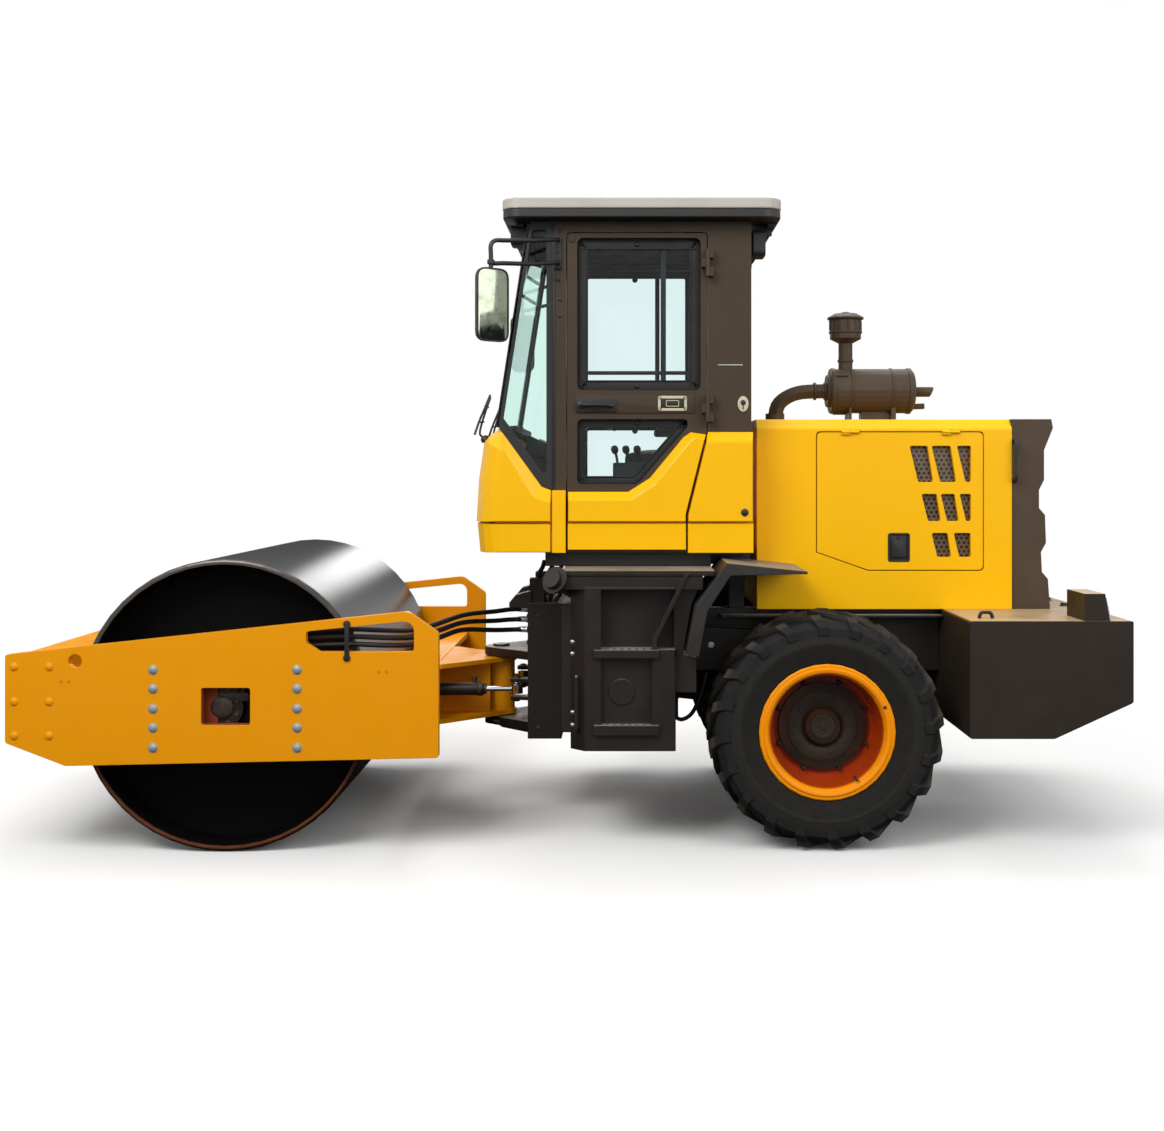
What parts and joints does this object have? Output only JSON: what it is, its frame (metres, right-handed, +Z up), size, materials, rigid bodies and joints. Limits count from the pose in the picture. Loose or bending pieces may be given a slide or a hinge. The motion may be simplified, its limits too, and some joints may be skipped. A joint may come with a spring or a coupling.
{
  "type": "articulated single-drum road roller",
  "caption": "Single-drum road roller: smooth drum in an orange frame, hinged to a rear unit with cab, hood, counterweight and lug tyres.",
  "frame": {"origin": "on the ground below the middle of the machine's length and width", "axes": "+X to the rear of the machine, the drum at -X; -Y is the machine's left side; +Z up"},
  "size_m": [5.35, 2.26, 3.194],
  "materials": {
    "orange_enamel": "semi-gloss enamel",
    "yellow_enamel": "gloss enamel",
    "brown_enamel": "satin enamel",
    "dark_enamel": "satin enamel",
    "drum_steel": "rolled bright",
    "chrome_rod": "hard chrome",
    "cast_housing": "painted casting",
    "tyre_rubber": "matte with dust",
    "black_plastic": "moulded",
    "roof_plastic": "moulded",
    "seat_vinyl": "grained vinyl",
    "tinted_glass": "green tinted safety glass"
  },
  "bodies": {
    "root": {"frame_head": "dark_enamel", "frame_rails": "dark_enamel", "rear_axle": "dark_enamel", "gearbox": "cast_housing", "engine_block": "cast_housing", "counterweight": "dark_enamel", "tank_left": "dark_enamel", "tank_right": "dark_enamel", "fender_left": "dark_enamel", "fender_right": "dark_enamel", "cab_side_left": "brown_enamel", "cab_side_right": "brown_enamel", "cab_tub": "brown_enamel", "cab_cowl": "yellow_enamel", "cab_skirt": "yellow_enamel", "windshield": "tinted_glass", "quarter_glass_left": "tinted_glass", "quarter_glass_right": "tinted_glass", "quarter_frame_left": "black_plastic", "quarter_frame_right": "black_plastic", "rear_glass": "tinted_glass", "roof": "roof_plastic", "roof_frame": "black_plastic", "seat": "seat_vinyl", "steering_column": "black_plastic", "mirror_left": "black_plastic", "mirror_right": "black_plastic", "lamps_front": "black_plastic", "lamps_rear": "black_plastic", "hood": "yellow_enamel", "grille": "dark_enamel", "air_cleaner": "dark_enamel"},
    "front_frame": {"front_plate_left": "orange_enamel", "front_plate_right": "orange_enamel", "front_beam": "orange_enamel", "rear_beam": "orange_enamel", "scraper": "orange_enamel", "drum_mount_left": "dark_enamel", "drum_mount_right": "dark_enamel"},
    "drum": {"drum": "drum_steel"},
    "steer_barrel_left": {"steer_barrel_left": "dark_enamel"},
    "steer_barrel_right": {"steer_barrel_right": "dark_enamel"},
    "steer_rod_left": {"steer_rod_left": "chrome_rod"},
    "steer_rod_right": {"steer_rod_right": "chrome_rod"},
    "wheel_left": {"tyre_left": "tyre_rubber", "rim_left": "orange_enamel"},
    "wheel_right": {"tyre_right": "tyre_rubber", "rim_right": "orange_enamel"},
    "cab_door_left": {"door_left": "brown_enamel", "door_skin_left": "yellow_enamel", "door_glass_left": "tinted_glass"},
    "cab_door_right": {"door_right": "brown_enamel", "door_skin_right": "yellow_enamel", "door_glass_right": "tinted_glass"},
    "hood_door_left": {"hood_door_left": "yellow_enamel"},
    "hood_door_right": {"hood_door_right": "yellow_enamel"}
  },
  "joints": [
    {"name": "steer", "type": "hinge", "parent": "root", "child": "front_frame", "pos_m": [-0.43, 0, 0.66], "axis": [0, 0, 1], "range_deg": [-28, 28]},
    {"name": "drum_roll", "type": "hinge", "parent": "front_frame", "child": "drum", "pos_m": [-1.676, 0, 0.705], "axis": [0, 1, 0], "continuous": true},
    {"name": "wheel_left_roll", "type": "hinge", "parent": "root", "child": "wheel_left", "pos_m": [1.229, -0.815, 0.575], "axis": [0, 1, 0], "continuous": true},
    {"name": "wheel_right_roll", "type": "hinge", "parent": "root", "child": "wheel_right", "pos_m": [1.229, 0.815, 0.575], "axis": [0, 1, 0], "continuous": true},
    {"name": "steer_barrel_left_turn", "type": "hinge", "parent": "front_frame", "child": "steer_barrel_left", "pos_m": [-0.85, -0.26, 0.669], "axis": [0, 0, 1], "range_deg": [-6, 6]},
    {"name": "steer_barrel_right_turn", "type": "hinge", "parent": "front_frame", "child": "steer_barrel_right", "pos_m": [-0.85, 0.26, 0.669], "axis": [0, 0, 1], "range_deg": [-6, 6]},
    {"name": "steer_rod_left_slide", "type": "slide", "parent": "steer_barrel_left", "child": "steer_rod_left", "axis": [0.9993, 0.0381, 0], "range_m": [-0.125, 0.125]},
    {"name": "steer_rod_right_slide", "type": "slide", "parent": "steer_barrel_right", "child": "steer_rod_right", "axis": [0.9993, -0.0381, 0], "range_m": [-0.125, 0.125]},
    {"name": "cab_door_left_open", "type": "hinge", "parent": "root", "child": "cab_door_left", "pos_m": [0.6685, -0.732, 2.2], "axis": [0, 0, 1], "range_deg": [0, 95]},
    {"name": "cab_door_right_open", "type": "hinge", "parent": "root", "child": "cab_door_right", "pos_m": [0.6685, 0.732, 2.2], "axis": [0, 0, -1], "range_deg": [0, 95]},
    {"name": "hood_door_left_open", "type": "hinge", "parent": "root", "child": "hood_door_left", "pos_m": [1.68, -0.508, 2.0375], "axis": [-1, 0, 0], "range_deg": [0, 80]},
    {"name": "hood_door_right_open", "type": "hinge", "parent": "root", "child": "hood_door_right", "pos_m": [1.68, 0.508, 2.0375], "axis": [1, 0, 0], "range_deg": [0, 80]}
  ],
  "couplings": [
    {"joint": "steer_barrel_left_turn", "follows": "steer", "ratio": -0.161},
    {"joint": "steer_barrel_right_turn", "follows": "steer", "ratio": -0.161},
    {"joint": "steer_rod_left_slide", "follows": "steer", "m_per_rad": -0.2384},
    {"joint": "steer_rod_right_slide", "follows": "steer", "m_per_rad": 0.2384}
  ]
}
